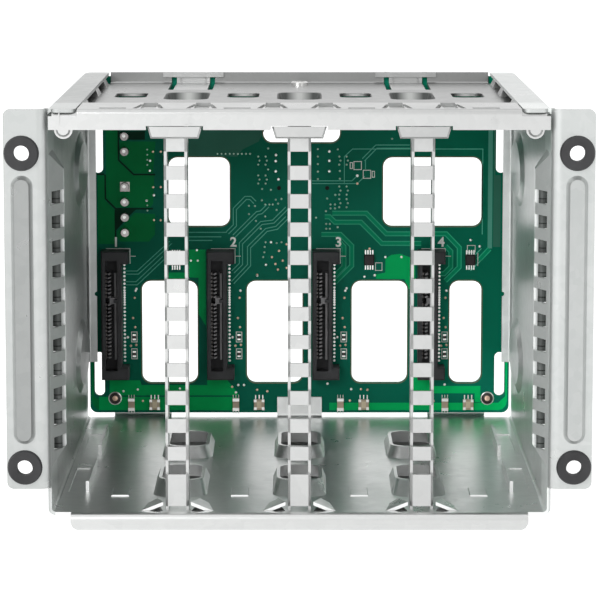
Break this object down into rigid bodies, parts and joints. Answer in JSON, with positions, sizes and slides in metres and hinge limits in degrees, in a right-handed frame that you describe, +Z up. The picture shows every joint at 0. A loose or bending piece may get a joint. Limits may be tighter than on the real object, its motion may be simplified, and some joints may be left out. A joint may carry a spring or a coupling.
{
  "type": "hot swap drive cage",
  "caption": "Open sheet-metal drive cage with ladder posts between its bays, flanged ears with rubber grommets, and a windowed backplane board with drive connectors.",
  "frame": {"origin": "centre of the footprint at the foot of the front lip", "axes": "+Z up, bays open towards -Y, connectors of the board behind at +Y, +X to the right seen from the front"},
  "size_m": [0.1662, 0.1762, 0.1202],
  "materials": {
    "galvanised_sheet": "satin zinc",
    "rivet_steel": "bright",
    "circuit_board": "solder mask",
    "black_plastic": "moulded",
    "white_plastic": "moulded",
    "contact_metal": "plated",
    "lamp_plastic": "clear coated",
    "pack_ceramic": "fired",
    "black_rubber": "matt"
  },
  "bodies": {
    "cage": {"backplane_board": "circuit_board", "bay_lamps": "lamp_plastic", "board_chips": "black_plastic", "data_connector_contacts": "contact_metal", "data_connector_core": "black_plastic", "data_connector_shell": "rivet_steel", "divider_post_1": "galvanised_sheet", "divider_post_2": "galvanised_sheet", "divider_post_3": "galvanised_sheet", "drive_connector_1": "black_plastic", "drive_connector_2": "black_plastic", "drive_connector_3": "black_plastic", "drive_connector_4": "black_plastic", "drive_contacts_1": "contact_metal", "drive_contacts_2": "contact_metal", "drive_contacts_3": "contact_metal", "drive_contacts_4": "contact_metal", "ear_grommets": "black_rubber", "floor_pan": "galvanised_sheet", "left_side_wall": "galvanised_sheet", "plate_rivet": "rivet_steel", "power_header_lower": "white_plastic", "power_header_upper": "white_plastic", "power_pins_lower": "contact_metal", "power_pins_upper": "contact_metal", "resistor_packs": "pack_ceramic", "right_side_wall": "galvanised_sheet", "side_lamps": "lamp_plastic", "top_plate": "galvanised_sheet"},
    "latch_left": {"board_latch_left": "galvanised_sheet"},
    "latch_right": {"board_latch_right": "galvanised_sheet"}
  },
  "joints": [
    {"name": "latch_left_flex", "type": "hinge", "parent": "cage", "child": "latch_left", "pos_m": [-0.035, 0.04155, 0.1161], "axis": [1, 0, 0], "range_deg": [0, 5], "stiffness_Nm_per_rad": 0.4},
    {"name": "latch_right_flex", "type": "hinge", "parent": "cage", "child": "latch_right", "pos_m": [0.035, 0.04155, 0.1161], "axis": [1, 0, 0], "range_deg": [0, 5], "stiffness_Nm_per_rad": 0.4}
  ]
}
